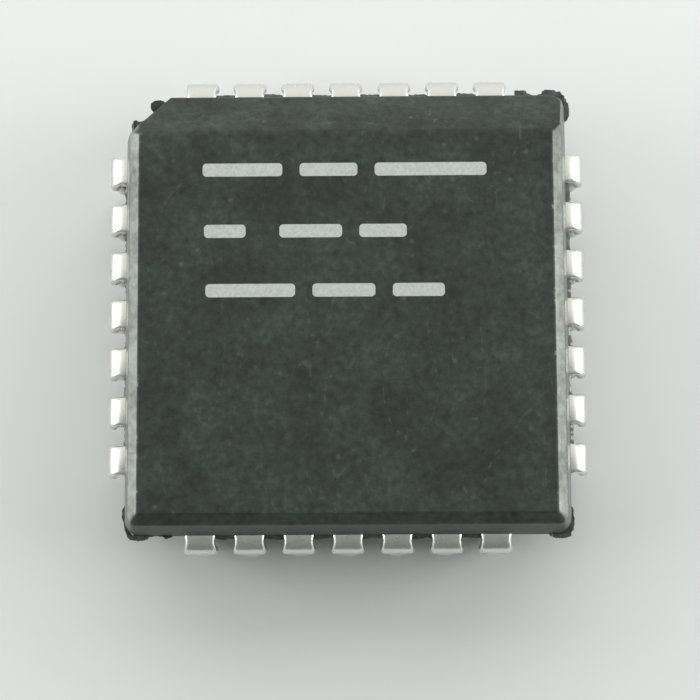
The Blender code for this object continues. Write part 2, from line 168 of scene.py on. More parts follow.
studio = {
    "world": 0.43,  # ambient light, which the camera and mirrors see as white
    "lamps": {
        # name: (place in mm, width and height in mm, watts, whether metal mirrors it)
        "left softbox": ((-108, 10, 34), (84, 64), 0.086, True),
        "right softbox": ((108, 10, 34), (84, 64), 0.100, True),
        "left upper softbox": ((-80, 10, 80), (84, 70), 0.009, True),
        "right upper softbox": ((80, 10, 80), (84, 70), 0.009, True),
        "back softbox": ((0, 100, 72), (230, 120), 0.165, False),
    },
    "floorSize": 1600,  # mm
    "floorColor": "#d6d9d7",
    # the camera's side is kept darker, so that metal and edges facing it stand out
    "cardEdges": ((-95, 1), (2, 112)),  # y and z of the lower and the upper edge in mm
    "cardWidth": 220,  # mm
    "cardColor": "#757978",
    "sheetRoughness": 0.9,
    "sheetGloss": 0.2,
}


def makeStudio():
    world = bpy.data.worlds.new("pale studio")
    bpy.context.scene.world = world
    world.use_nodes = True
    tree = world.node_tree
    tree.nodes.clear()
    rays = addNode(tree, "ShaderNodeLightPath")
    seen = addNode(tree, "ShaderNodeMath", {
        0: rays.outputs["Is Camera Ray"], 1: rays.outputs["Is Glossy Ray"]}, operation="MAXIMUM")
    shown = addNode(tree, "ShaderNodeMath", {
        0: seen, 1: rays.outputs["Is Transmission Ray"]}, operation="MAXIMUM")
    light = addNode(tree, "ShaderNodeBackground", {
        "Color": (1, 1, 1, 1), "Strength": studio["world"]})
    white = addNode(tree, "ShaderNodeBackground", {"Color": (1, 1, 1, 1), "Strength": 1.0})
    mix = addNode(tree, "ShaderNodeMixShader", {0: shown, 1: light, 2: white})
    addNode(tree, "ShaderNodeOutputWorld", {"Surface": mix})
    for name, (place, size, watts, mirrored) in studio["lamps"].items():
        lamp = bpy.data.objects.new(name, bpy.data.lights.new(name, "AREA"))
        lamp.data.shape = "RECTANGLE"
        lamp.data.size, lamp.data.size_y = (side * mm for side in size)
        lamp.data.energy = watts
        lamp.location = Vector(place) * mm
        lamp.rotation_euler = (-lamp.location).to_track_quat("-Z", "Y").to_euler()
        lamp.visible_glossy = mirrored
        bpy.context.scene.collection.objects.link(lamp)
    half = studio["floorSize"] / 2
    makeSheet("floor", half, (-half, 0), (half, 0), "matt white card", studio["floorColor"])
    low, high = studio["cardEdges"]
    card = makeSheet("grey card", studio["cardWidth"] / 2, low, high, "matt grey card",
                     studio["cardColor"])
    card.visible_camera = False


def makeSheet(name, half, low, high, materialName, color):
    # a flat sheet in mm from its lower to its upper edge, each given as y and z
    corners = [(-half, *low), (half, *low), (half, *high), (-half, *high)]
    mesh = bpy.data.meshes.new(name)
    mesh.from_pydata([Vector(corner) * mm for corner in corners], [], [(0, 1, 2, 3)])
    sheet = newPiece(name, mesh)
    material, tree = newMaterial(materialName)
    shader = addNode(tree, "ShaderNodeBsdfPrincipled", {
        "Base Color": hexColor(color), "Roughness": studio["sheetRoughness"],
        "Specular IOR Level": studio["sheetGloss"]})
    addNode(tree, "ShaderNodeOutputMaterial", {"Surface": shader})
    mesh.materials.append(material)
    return sheet


makeCamera()
makeStudio()
print("camera, lights and floor made")

resinLook = {
    "color": "#242c27",
    "pale": "#2c352e",
    "dark": "#1c221e",
    "speck": "#565d58",
    "scuff": "#4a504c",
    "clouds": 1.3,  # mm, uneven mould release
    "mottle": 0.20,  # mm, filler-rich and resin-rich spots
    "grain": 0.055,  # mm, pits of a spark-eroded mould
    "specks": 0.21,  # mm, flecks of silica filler
    "scuffs": 1.1,  # mm, hairline rubs from handling
    "roughness": (0.50, 0.66),
    "mottleTone": (0.50, 1.50),  # darkest and palest spots, as a share of the colour
    "fleckFrom": 0.97,  # share of the fleck cells that stay empty
    "fleckEdge": (0.10, 0.42),  # where a fleck starts to fade and ends, as a share of its cell
    "fleckStrength": 0.40,
    # painted highlight: the paler tone of the sides, standing in for the light of the side lamps
    "edge": "#565c55",
    "edgeRoughness": 0.36,
    "edgeCalm": 0.65,  # how much of the mottle is lost where it is polished
    "edgeFrom": (0.42, 0.66),  # how far a face leans sideways before it is polished
    "frontLean": (0.11, 0.387),  # the front counts for less than the sides, so it is painted less pale, as painted shade: share, and start
    # partly wear, partly a painted highlight: the side edges as lit by the side lamps
    "wornAndPaintedHighlight": "#939a90",
    "wornFrom": (0.45, 0.62),
    "wornStrength": (0.05, 1.0),
    "chipsFrom": (5.12, 5.30),  # mm from the middle, and over the next height they may show
    "chipsOver": 4.30,  # mm
    "chipReach": 0.3,  # how much the nearness of an edge counts against the mottle
    "chipEdge": (0.88, 0.98),
    "chipStrength": 0.6,
    # painted light: the flash and fins are paler to make up for the shade they lie in
    "flash": "#444b45",
    "flashFrom": (5.752, 5.760),  # mm from the middle
    "scuffWidth": 0.005,
    "scuffTurn": 25,  # degrees
    "scuffStretch": 0.3,
    "scuffStrength": 0.45,
    "pitDepth": 0.004,  # mm
}


def makeResin():
    # black epoxy moulding compound with silica filler, moulded in a spark-eroded cavity:
    # dull dark grey, mottled and finely pitted, with paler flecks and faint clouds; the sides
    # and their edges are smoother, as the mould is polished there for release, and painted paler:
    # a painted highlight of the side lamps, less on the front, with some wear on the side edges
    look = resinLook
    material, tree = newMaterial("moulded epoxy, spark-eroded finish")
    coordinates = addNode(tree, "ShaderNodeTexCoord").outputs
    place, facing = coordinates["Object"], coordinates["Normal"]
    clouds, mottle, grain = (addNode(tree, "ShaderNodeTexNoise", {
        "Vector": place, "Scale": 1 / (look[name] * mm), "Detail": detail, "Roughness": blend})
        for name, detail, blend in (("clouds", 5.0, 0.6), ("mottle", 4.0, 0.62),
                                    ("grain", 2.0, 0.55)))
    flecks = addNode(tree, "ShaderNodeTexVoronoi", {
        "Vector": place, "Scale": 1 / (look["specks"] * mm), "Randomness": 1.0})
    tint = addNode(tree, "ShaderNodeValToRGB", {"Fac": clouds.outputs["Fac"]})
    ramp = tint.color_ramp
    ramp.elements[0].position, ramp.elements[0].color = 0.34, hexColor(look["dark"])
    ramp.elements[1].position, ramp.elements[1].color = 0.66, hexColor(look["pale"])
    ramp.elements.new(0.5).color = hexColor(look["color"])

    # smooth where the surface faces a side or the front, but not on the pin-side bevel; the same
    # mask paints those faces paler, a painted highlight of the side lamps, weaker on the front
    normal = addNode(tree, "ShaderNodeSeparateXYZ", {0: facing})
    sideways = addNode(tree, "ShaderNodeMath", {0: normal.outputs["X"]}, operation="ABSOLUTE")
    forwards = addNode(tree, "ShaderNodeMath", {
        0: normal.outputs["Y"], 1: -look["frontLean"][0], 2: look["frontLean"][1]},
        operation="MULTIPLY_ADD")
    steepest = addNode(tree, "ShaderNodeMath", {0: sideways, 1: forwards}, operation="MAXIMUM")
    polishedAndPaintedLit = addNode(tree, "ShaderNodeMapRange", {
        "Value": steepest, "From Min": look["edgeFrom"][0], "From Max": look["edgeFrom"][1]})

    # flash is painted paler, as painted light against the shade of the body and leads it lies in;
    # it lies outside the walls
    spot = addNode(tree, "ShaderNodeSeparateXYZ", {0: place})
    across = addNode(tree, "ShaderNodeMath", {0: spot.outputs["X"]}, operation="ABSOLUTE")
    along = addNode(tree, "ShaderNodeMath", {0: spot.outputs["Y"]}, operation="ABSOLUTE")
    farthest = addNode(tree, "ShaderNodeMath", {0: across, 1: along}, operation="MAXIMUM")
    paintedLitFlash = addNode(tree, "ShaderNodeMapRange", {
        "Value": farthest, "From Min": look["flashFrom"][0] * mm,
        "From Max": look["flashFrom"][1] * mm})
    base = tint.outputs["Color"]
    # the sides are painted paler here as a painted highlight, and the flash as painted light
    # against its shade
    for cover, layer in ((polishedAndPaintedLit, "edge"), (paintedLitFlash, "flash")):
        base = addNode(tree, "ShaderNodeMix", {
            0: cover, 6: base, 7: hexColor(look[layer])}, data_type="RGBA").outputs[2]

    mottled = addNode(tree, "ShaderNodeMapRange", {
        "Value": mottle.outputs["Fac"], "From Min": 0.3, "From Max": 0.7,
        "To Min": look["mottleTone"][0], "To Max": look["mottleTone"][1]})
    calm = addNode(tree, "ShaderNodeMath", {0: polishedAndPaintedLit, 1: look["edgeCalm"]}, operation="MULTIPLY")
    settled = addNode(tree, "ShaderNodeMix", {0: calm, 2: mottled, 3: 1.0})
    shaded = addNode(tree, "ShaderNodeVectorMath", {0: base, "Scale": settled}, operation="SCALE")
    rare = addNode(tree, "ShaderNodeSeparateColor", {"Color": flecks.outputs["Color"]})
    few = addNode(tree, "ShaderNodeMath", {0: rare, 1: look["fleckFrom"]}, operation="GREATER_THAN")
    small = addNode(tree, "ShaderNodeMapRange", {
        "Value": flecks.outputs["Distance"], "From Min": look["fleckEdge"][0],
        "From Max": look["fleckEdge"][1], "To Min": look["fleckStrength"], "To Max": 0.0})
    fleck = addNode(tree, "ShaderNodeMath", {0: few, 1: small}, operation="MULTIPLY")

    # the broken edges over the side walls are painted palest: some wear, and a painted highlight of
    # the side lamps; they face half up, half sideways
    halfWay = addNode(tree, "ShaderNodeMath", {0: sideways, 1: normal.outputs["Z"]},
                      operation="MINIMUM")
    onEdge = addNode(tree, "ShaderNodeMapRange", {
        "Value": halfWay, "From Min": look["wornFrom"][0], "From Max": look["wornFrom"][1]})
    spread = addNode(tree, "ShaderNodeMix", {
        0: 0.4, 2: clouds.outputs["Fac"], 3: mottle.outputs["Fac"]})
    uneven = addNode(tree, "ShaderNodeMapRange", {
        "Value": spread, "From Min": 0.36, "From Max": 0.62,
        "To Min": look["wornStrength"][0], "To Max": look["wornStrength"][1]})
    rubbedAndHighlitEdge = addNode(tree, "ShaderNodeMath", {0: onEdge, 1: uneven}, operation="MULTIPLY")

    # and small pale chips in the same tone run from them onto the face, where the mottle is high
    # and a side edge is near, carrying the painted highlight onto the face
    nearEdge = addNode(tree, "ShaderNodeMapRange", {
        "Value": across, "From Min": look["chipsFrom"][0] * mm,
        "From Max": look["chipsFrom"][1] * mm})
    reach = addNode(tree, "ShaderNodeMath", {
        0: nearEdge, 1: look["chipReach"], 2: mottle.outputs["Fac"]}, operation="MULTIPLY_ADD")
    chipped = addNode(tree, "ShaderNodeMapRange", {
        "Value": reach, "From Min": look["chipEdge"][0],
        "From Max": look["chipEdge"][1], "To Max": look["chipStrength"]})
    onTop = addNode(tree, "ShaderNodeMath", {0: spot.outputs["Z"], 1: look["chipsOver"] * mm},
                    operation="GREATER_THAN")
    chips = addNode(tree, "ShaderNodeMath", {0: chipped, 1: onTop}, operation="MULTIPLY")
    wearAndPaintedHighlight = addNode(tree, "ShaderNodeMath", {0: rubbedAndHighlitEdge, 1: chips}, operation="MAXIMUM")

    # hairlines lie where a stretched noise crosses its middle value, and only in rubbed patches
    stretched = addNode(tree, "ShaderNodeMapping", {
        "Vector": place, "Rotation": Euler((0, 0, math.radians(look["scuffTurn"]))),
        "Scale": (1.0, look["scuffStretch"], 1.0)})
    winding = addNode(tree, "ShaderNodeTexNoise", {
        "Vector": stretched, "Scale": 1 / (look["scuffs"] * mm), "Detail": 0.0})
    crossing = addNode(tree, "ShaderNodeMath", {
        0: winding.outputs["Fac"], 1: 0.5, 2: look["scuffWidth"]}, operation="COMPARE")
    rubbed = addNode(tree, "ShaderNodeMapRange", {
        "Value": mottle.outputs["Fac"], "From Min": 0.48, "From Max": 0.62,
        "To Min": 0.0, "To Max": look["scuffStrength"]})
    scuff = addNode(tree, "ShaderNodeMath", {0: crossing, 1: rubbed}, operation="MULTIPLY")

    # each lies over the one before
    color = shaded
    for cover, layer in ((fleck, "speck"), (wearAndPaintedHighlight, "wornAndPaintedHighlight"), (scuff, "scuff")):
        color = addNode(tree, "ShaderNodeMix", {
            0: cover, 6: color, 7: hexColor(look[layer])}, data_type="RGBA").outputs[2]

    dull = addNode(tree, "ShaderNodeMapRange", {
        "Value": grain.outputs["Fac"], "From Min": 0.3, "From Max": 0.7,
        "To Min": look["roughness"][0], "To Max": look["roughness"][1]})
    rough = addNode(tree, "ShaderNodeMix", {0: polishedAndPaintedLit, 2: dull, 3: look["edgeRoughness"]})
    pits = addNode(tree, "ShaderNodeBump", {
        "Height": grain.outputs["Fac"], "Distance": look["pitDepth"] * mm, "Strength": 1.0})
    shader = addNode(tree, "ShaderNodeBsdfPrincipled", {
        "Base Color": color, "Roughness": rough, "IOR": 1.55,
        "Specular IOR Level": 0.35, "Normal": pits})
    addNode(tree, "ShaderNodeOutputMaterial", {"Surface": shader})
    return material


tinLook = {
    "color": "#dfe0d8",
    "stain": "#c9c2b0",
    "patches": 0.30,  # mm, plating that took unevenly
    "grain": 0.060,  # mm, crystals of matt tin, drawn coarser than the real 5 microns
    "drag": (0.030, 0.8),  # mm across and along, drag lines of the forming die
    "relief": 0.0002,  # mm
    "roughness": (0.26, 0.36),
    "stainFade": (-0.10, 0.10),  # mm past the start of the bend
    "stainStrength": 0.75,
}


def makeTin():
    # matt tin plate on a copper-alloy strip: silvery, slightly warm, softly blurred,
    # with fine lines dragged along it by the forming die and stains next to the resin
    look = tinLook
    material, tree = newMaterial("matt tin plate on copper alloy")
    place = addNode(tree, "ShaderNodeTexCoord").outputs["Object"]
    strip = addNode(tree, "ShaderNodeAttribute", attribute_name="stripPlace").outputs["Vector"]
    patches = addNode(tree, "ShaderNodeTexNoise", {
        "Vector": place, "Scale": 1 / (look["patches"] * mm), "Detail": 4.0, "Roughness": 0.55})
    grain = addNode(tree, "ShaderNodeTexNoise", {
        "Vector": place, "Scale": 1 / (look["grain"] * mm), "Detail": 1.0})
    across, along = (1 / (size * mm) for size in look["drag"])
    stretched = addNode(tree, "ShaderNodeVectorMath", {0: strip, 1: (across, along, across)},
                        operation="MULTIPLY")
    lines = addNode(tree, "ShaderNodeTexNoise", {"Vector": stretched, "Scale": 1.0, "Detail": 2.0})
    alongStrip = addNode(tree, "ShaderNodeSeparateXYZ", {0: strip}).outputs["Y"]
    nearResin = addNode(tree, "ShaderNodeMapRange", {
        "Value": alongStrip, "From Min": look["stainFade"][0] * mm,
        "From Max": look["stainFade"][1] * mm, "To Min": look["stainStrength"], "To Max": 0.0})
    stained = addNode(tree, "ShaderNodeMath", {
        0: nearResin, 1: patches.outputs["Fac"]}, operation="MULTIPLY")
    color = addNode(tree, "ShaderNodeMix", {
        0: stained, 6: hexColor(look["color"]), 7: hexColor(look["stain"])}, data_type="RGBA")
    sheen = addNode(tree, "ShaderNodeMath", {
        0: patches.outputs["Fac"], 1: grain.outputs["Fac"]}, operation="ADD")
    dull = addNode(tree, "ShaderNodeMapRange", {
        "Value": sheen, "From Min": 0.7, "From Max": 1.3,
        "To Min": look["roughness"][0], "To Max": look["roughness"][1]})
    relief = addNode(tree, "ShaderNodeMath", {
        0: lines.outputs["Fac"], 1: grain.outputs["Fac"]}, operation="ADD")
    bumps = addNode(tree, "ShaderNodeBump", {
        "Height": relief, "Distance": look["relief"] * mm, "Strength": 1.0})
    shader = addNode(tree, "ShaderNodeBsdfPrincipled", {
        "Base Color": color.outputs[2], "Metallic": 1.0, "Roughness": dull, "Normal": bumps})
    addNode(tree, "ShaderNodeOutputMaterial", {"Surface": shader})
    return material


inkLook = {
    "color": "#b2b7b3",
    "thin": "#a3a8a4",
    "pores": 0.07,  # mm, where the pits of the resin show through
    "roughness": 0.75,
    "pitDepth": 0.002,  # mm
}


def makeInk():
    # pad-printed epoxy ink: flat pale grey, thinner over the pits of the resin
    look = inkLook
    material, tree = newMaterial("pad-printed epoxy ink")
    place = addNode(tree, "ShaderNodeTexCoord").outputs["Object"]
    pores = addNode(tree, "ShaderNodeTexNoise", {
        "Vector": place, "Scale": 1 / (look["pores"] * mm), "Detail": 3.0, "Roughness": 0.6})
    cover = addNode(tree, "ShaderNodeMapRange", {
        "Value": pores.outputs["Fac"], "From Min": 0.36, "From Max": 0.60})
    color = addNode(tree, "ShaderNodeMix", {
        0: cover, 6: hexColor(look["thin"]), 7: hexColor(look["color"])}, data_type="RGBA")
    pits = addNode(tree, "ShaderNodeBump", {
        "Height": pores.outputs["Fac"], "Distance": look["pitDepth"] * mm, "Strength": 1.0})
    shader = addNode(tree, "ShaderNodeBsdfPrincipled", {
        "Base Color": color.outputs[2], "Roughness": look["roughness"], "Normal": pits})
    addNode(tree, "ShaderNodeOutputMaterial", {"Surface": shader})
    return material


hiddenLooks = {
    # name: colour, darker colour, metallic, roughness, size of the pattern in mm, bump in mm
    "polished silicon": ("#6f7684", "#4d5360", 0.6, 0.18, 0.12, 0.0004),  # dark grey mirror
    "silver-filled epoxy": ("#b5b4ae", "#8d8c86", 0.3, 0.55, 0.04, 0.004),  # grey, grainy paste
    "drawn gold wire": ("#e6c077", "#cfa35a", 1.0, 0.22, 0.05, 0.0003),  # soft warm gloss
}


def makeHidden(name):
    # what lies sealed in the resin: one tone broken up by fine grain
    color, darker, metallic, roughness, size, depth = hiddenLooks[name]
    material, tree = newMaterial(name)
    place = addNode(tree, "ShaderNodeTexCoord").outputs["Object"]
    grain = addNode(tree, "ShaderNodeTexNoise", {
        "Vector": place, "Scale": 1 / (size * mm), "Detail": 3.0})
    tone = addNode(tree, "ShaderNodeMix", {
        0: grain.outputs["Fac"], 6: hexColor(color), 7: hexColor(darker)}, data_type="RGBA")
    bumps = addNode(tree, "ShaderNodeBump", {
        "Height": grain.outputs["Fac"], "Distance": depth * mm})
    shader = addNode(tree, "ShaderNodeBsdfPrincipled", {
        "Base Color": tone.outputs[2], "Metallic": metallic, "Roughness": roughness,
        "Normal": bumps})
    addNode(tree, "ShaderNodeOutputMaterial", {"Surface": shader})
    return material


resin = makeResin()
tin = makeTin()
ink = makeInk()
silicon = makeHidden("polished silicon")
epoxy = makeHidden("silver-filled epoxy")
gold = makeHidden("drawn gold wire")
print("materials made")

body = {
    "half": 5.75 * mm,
    "top": 4.37 * mm,
    "underside": 0.55 * mm,
    "partingLow": 2.545 * mm,
    "partingHigh": 2.795 * mm,
    "upperDraft": math.radians(8.3),
    "lowerDraft": math.radians(8),
    "edgeBreak": 0.27 * mm,
    "cornerRadius": 0.40 * mm,
    "topCornerRadius": 0.10 * mm,
    "undersideCornerRadius": 0.28 * mm,
    "cornerSteps": 8,
    "pinCornerChamfer": 1.152 * mm,  # the cut tie bar stands a hair proud of it
    "pinSideBevel": 1.21 * mm,
    "rounding": 0.21 * mm,  # right end of the bevel
    "pinCornerRounding": 0.05 * mm,
    "topRounding": 0.10 * mm,
    "undersideRounding": 0.05 * mm,
    "roundingSteps": 3,
    "facetAngle": 20,  # degrees; under it lies a facet of a corner, or a flat seam
    "tallEdge": 0.5 * mm,  # an edge that climbs more than this runs up a corner
    "lowEdge": 1 * mm,  # and one lower than this lies round the underside
    "sharpAngle": 28,  # degrees, from which an edge is shaded sharp
    "inkThickness": 0.004 * mm,  # the face lies this much under the ink's top
    "weld": 0.01 * mm,  # corners of the plain shell closer than this become one
    "sliver": 0.0005 * mm,  # and so do those left by the cuts
}


def bodyRing(inset, radius, height):
    half = body["half"] - inset
    chamfer = body["pinCornerChamfer"] - inset * (2 - math.sqrt(2))
    steps = body["cornerSteps"]
    ring = []
    for quarter in range(4):
        turn = Matrix.Rotation(quarter * math.pi / 2, 3, "Z")
        corner = [(half, half - chamfer), (half - chamfer, half)]
        if quarter != 1:
            centre = half - radius
            angles = [math.pi / 2 * i / steps for i in range(steps + 1)]
            corner = [(centre + radius * math.cos(a), centre + radius * math.sin(a))
                      for a in angles]
        ring += [turn @ Vector((x, y, height)) for x, y in corner]
    return ring


def bodyShell():
    # two drafted halves, cut off at 45 degrees along the pin-1 side
    face = body["top"] - body["inkThickness"]
    breakLow = face - body["edgeBreak"]
    upperInset = (breakLow - body["partingHigh"]) * math.tan(body["upperDraft"])
    lowerInset = (body["partingLow"] - body["underside"]) * math.tan(body["lowerDraft"])
    rings = [
        bodyRing(lowerInset, body["undersideCornerRadius"], body["underside"]),
        bodyRing(0, body["cornerRadius"], body["partingLow"]),
        bodyRing(0, body["cornerRadius"], body["partingHigh"]),
        bodyRing(upperInset, body["topCornerRadius"] + body["edgeBreak"] / 2, breakLow),
        bodyRing(upperInset + body["edgeBreak"], body["topCornerRadius"], face),
    ]
    bm = bmesh.new()
    loops = [[bm.verts.new(point) for point in ring] for ring in rings]
    for lower, upper in zip(loops, loops[1:]):
        for i in range(len(lower)):
            bm.faces.new((lower[i - 1], lower[i], upper[i], upper[i - 1]))
    bm.faces.new(loops[0])
    bm.faces.new(loops[-1])
    bmesh.ops.recalc_face_normals(bm, faces=bm.faces)
    rise = body["top"] - body["pinSideBevel"] - body["partingHigh"]
    bevelEdge = body["half"] - rise * math.tan(body["upperDraft"]) - body["pinSideBevel"]
    bmesh.ops.bisect_plane(bm, geom=bm.verts[:] + bm.edges[:] + bm.faces[:], dist=0.0001 * mm,
                           plane_co=(0, bevelEdge, body["top"]), plane_no=slope, clear_outer=True)
    bmesh.ops.holes_fill(bm, edges=[edge for edge in bm.edges if edge.is_boundary])
    bmesh.ops.remove_doubles(bm, verts=bm.verts, dist=body["weld"])
    bmesh.ops.recalc_face_normals(bm, faces=bm.faces)
    weighEdges(bm)
    return closeMesh("body shell", bm)


def weighEdges(bm):
    # how far each edge is rounded, as a share of the widest rounding
    weight = bm.edges.layers.float.new("bevel_weight_edge")
    for edge in bm.edges:
        if edge.calc_face_angle() < math.radians(body["facetAngle"]):
            continue
        low, high = sorted(vert.co.z for vert in edge.verts)
        onSlope = any(face.normal.dot(slope) > 0.999 for face in edge.link_faces)
        if onSlope or high - low > body["tallEdge"]:
            atPinCorner = max(vert.co.x for vert in edge.verts) < 0
            width = body["pinCornerRounding"] if atPinCorner else body["rounding"]
        elif high < body["lowEdge"]:
            width = body["undersideRounding"]
        else:
            width = body["topRounding"]
        edge[weight] = width / body["rounding"]


def sideRow(tree, block, count, pitch, middle, level):
    # copies of a block, spread evenly about the middle of one side
    spaces = addNode(tree, "ShaderNodeMath", {0: 1, 1: count}, operation="SUBTRACT")
    halfPitch = addNode(tree, "ShaderNodeMath", {0: pitch, 1: 0.5}, operation="MULTIPLY")
    start = addNode(tree, "ShaderNodeMath", {0: spaces, 1: halfPitch}, operation="MULTIPLY")
    first = addNode(tree, "ShaderNodeCombineXYZ", {0: middle, 1: start, 2: level})
    step = addNode(tree, "ShaderNodeCombineXYZ", {1: pitch})
    row = addNode(tree, "GeometryNodeMeshLine", {
        "Count": count, "Start Location": first, "Offset": step})
    return addNode(tree, "GeometryNodeInstanceOnPoints", {"Points": row, "Instance": block})


flash = {
    "Pitch": 1.27 * mm,
    "Gaps": 6,  # spaces between a side's leads
    "Sheet height": 2.67 * mm,
    "Thickness": 0.19 * mm,
    "Taper": 0.55,  # share of the thickness lost towards the free edge
    "Width": 0.48 * mm,
    "Reach": 0.085 * mm,
    "Root": 0.20 * mm,
    "Raggedness": 0.11 * mm,
    "Body half": 5.75 * mm,
    "Left set back": 0.05 * mm,  # the rim is narrower on that side
    "Seed": 3,
}
flashLumps = {
    "broad": 0.42 * mm,
    "fine": 0.09 * mm,
    "push": (1.0, 0.25, 0.3),  # outwards, along the side and upwards
    "seedStep": 7.3,  # from one side to the next
}


def flashTree():
    # resin that the dam bar held back, left as a rough rim between the leads
    tree = newTree("flash between leads", flash)
    given = addNode(tree, "NodeGroupInput").outputs
    length = addNode(tree, "ShaderNodeMath", {0: given["Reach"], 1: given["Root"]}, operation="ADD")
    size = addNode(tree, "ShaderNodeCombineXYZ", {
        0: length, 1: given["Width"], 2: given["Thickness"]})
    block = addNode(tree, "GeometryNodeMeshCube", {
        "Size": size, "Vertices X": 5, "Vertices Y": 16, "Vertices Z": 6})
    shift = addNode(tree, "ShaderNodeMath", {0: given["Reach"], 1: given["Root"]},
                    operation="SUBTRACT")
    middle = addNode(tree, "ShaderNodeMath", {
        0: shift, 1: 0.5, 2: given["Body half"]}, operation="MULTIPLY_ADD")
    blocks = sideRow(tree, block, given["Gaps"], given["Pitch"], middle,
                     given["Sheet height"])
    solid = addNode(tree, "GeometryNodeRealizeInstances", {0: blocks})
    place = addNode(tree, "GeometryNodeInputPosition")
    outer = addNode(tree, "ShaderNodeSeparateXYZ", {0: place})
    farEdge = addNode(tree, "ShaderNodeMath", {0: given["Body half"], 1: given["Reach"]},
                      operation="ADD")
    free = addNode(tree, "ShaderNodeMapRange", {
        "Value": outer, "From Min": given["Body half"], "From Max": farEdge})
    level = addNode(tree, "ShaderNodeMath", {0: given["Sheet height"], 1: outer.outputs[2]},
                    operation="SUBTRACT")
    thinning = addNode(tree, "ShaderNodeMath", {0: free, 1: given["Taper"]}, operation="MULTIPLY")
    closer = addNode(tree, "ShaderNodeMath", {0: level, 1: thinning}, operation="MULTIPLY")
    tapered = addNode(tree, "ShaderNodeCombineXYZ", {2: closer})
    join = addNode(tree, "GeometryNodeJoinGeometry")
    for side in range(4):
        seed = addNode(tree, "ShaderNodeMath", {
            0: given["Seed"], 1: flashLumps["seedStep"] * side}, operation="ADD")
        broad, fine = (addNode(tree, "ShaderNodeTexNoise", {
            "W": seed, "Scale": 1 / flashLumps[size], "Detail": detail},
            noise_dimensions="4D") for size, detail in (("broad", 0.0), ("fine", 1.0)))
        both = addNode(tree, "ShaderNodeVectorMath", {
            0: broad.outputs["Color"], 1: fine.outputs["Color"]}, operation="ADD")
        centred = addNode(tree, "ShaderNodeVectorMath", {0: both, 1: (1, 1, 1)},
                          operation="SUBTRACT")
        amount = addNode(tree, "ShaderNodeMath", {
            0: given["Raggedness"], 1: free}, operation="MULTIPLY")
        push = addNode(tree, "ShaderNodeVectorMath", {
            0: centred, "Scale": amount}, operation="SCALE")
        flat = addNode(tree, "ShaderNodeVectorMath", {
            0: push, 1: flashLumps["push"], 2: tapered}, operation="MULTIPLY_ADD")
        ragged = addNode(tree, "GeometryNodeSetPosition", {"Geometry": solid, "Offset": flat})
        if side == 2:
            inwards = addNode(tree, "ShaderNodeMath", {0: 0.0, 1: given["Left set back"]},
                              operation="SUBTRACT")
            setBack = addNode(tree, "ShaderNodeCombineXYZ", {0: inwards})
            ragged = addNode(tree, "GeometryNodeTransform", {
                "Geometry": ragged, "Translation": setBack})
        turned = addNode(tree, "GeometryNodeTransform", {
            "Geometry": ragged, "Rotation": Euler((0, 0, side * math.pi / 2))})
        tree.links.new(turned.outputs[0], join.inputs[0])
    closeTree(tree, join, given["Material"])
    return tree


fins = {
    "thickness": 0.075 * mm,
    "height": 2.735 * mm,  # underside of a fin
    "root": 0.90 * mm,  # how far inside the corner it starts
    "softening": 1,  # times that the corners of an outline are cut off
    "jitter": 0.030 * mm,
    "splits": 2,  # halvings of each outline edge
    "uneven": (0.75, 1.15),  # least and most thickness, as a share
    "seed": 11,
    # name: (which corner, points out past the body's square corner in mm)
    "shapes": {
        "bevel right": ((1, 1), (
            (-1.30, 0.15), (-1.01, 0.16), (-0.94, 0.03), (-0.62, 0.02), (-0.57, 0.16),
            (-0.14, 0.16), (0.04, -0.04), (0.14, -0.28), (0.13, -0.60), (-0.04, -0.74))),
        "front right": ((1, -1), (
            (-0.66, -0.04), (-0.54, 0.08), (-0.23, 0.13), (0.03, 0.06), (0.09, -0.53),
            (-0.03, -0.79))),
        "front left": ((-1, -1), (
            (-1.24, 0.02), (-1.07, 0.10), (-1.01, 0.03), (-0.63, 0.02), (-0.58, 0.13),
            (-0.14, 0.12), (-0.03, -0.08), (0.10, -0.60), (-0.02, -0.78))),
        "pin corner": ((-1, 1), (
            (-1.16, -0.10), (-1.03, -0.16), (-0.97, -0.08), (-0.86, -0.05), (-0.76, -0.04),
            (-0.65, -0.09), (-0.59, -0.21), (-0.63, -0.34), (-0.73, -0.37), (-0.64, -0.48),
            (-0.52, -0.55), (-0.40, -0.61), (-0.30, -0.63), (-0.21, -0.57), (-0.14, -0.61),
            (-0.10, -0.74), (-0.12, -0.90), (-0.20, -1.06))),
    },
}


def brokenEdge(points, rng):
    # corners are cut off, then each piece of the outline is halved again and again, its
    # middle pushed a little aside
    for _ in range(fins["softening"]):
        softer = [points[0]]
        for start, end in zip(points, points[1:]):
            softer += [start.lerp(end, 0.25), start.lerp(end, 0.75)]
        points = softer + [points[-1]]
    jitter = fins["jitter"]
    for _ in range(fins["splits"]):
        finer = [points[0]]
        for start, end in zip(points, points[1:]):
            length = (end - start).length
            push = min(jitter, length / 4)
            aside = Vector((rng.uniform(-push, push), rng.uniform(-push, push)))
            finer += [(start + end) / 2 + aside, end]
        points = finer
        jitter /= 2
    return points


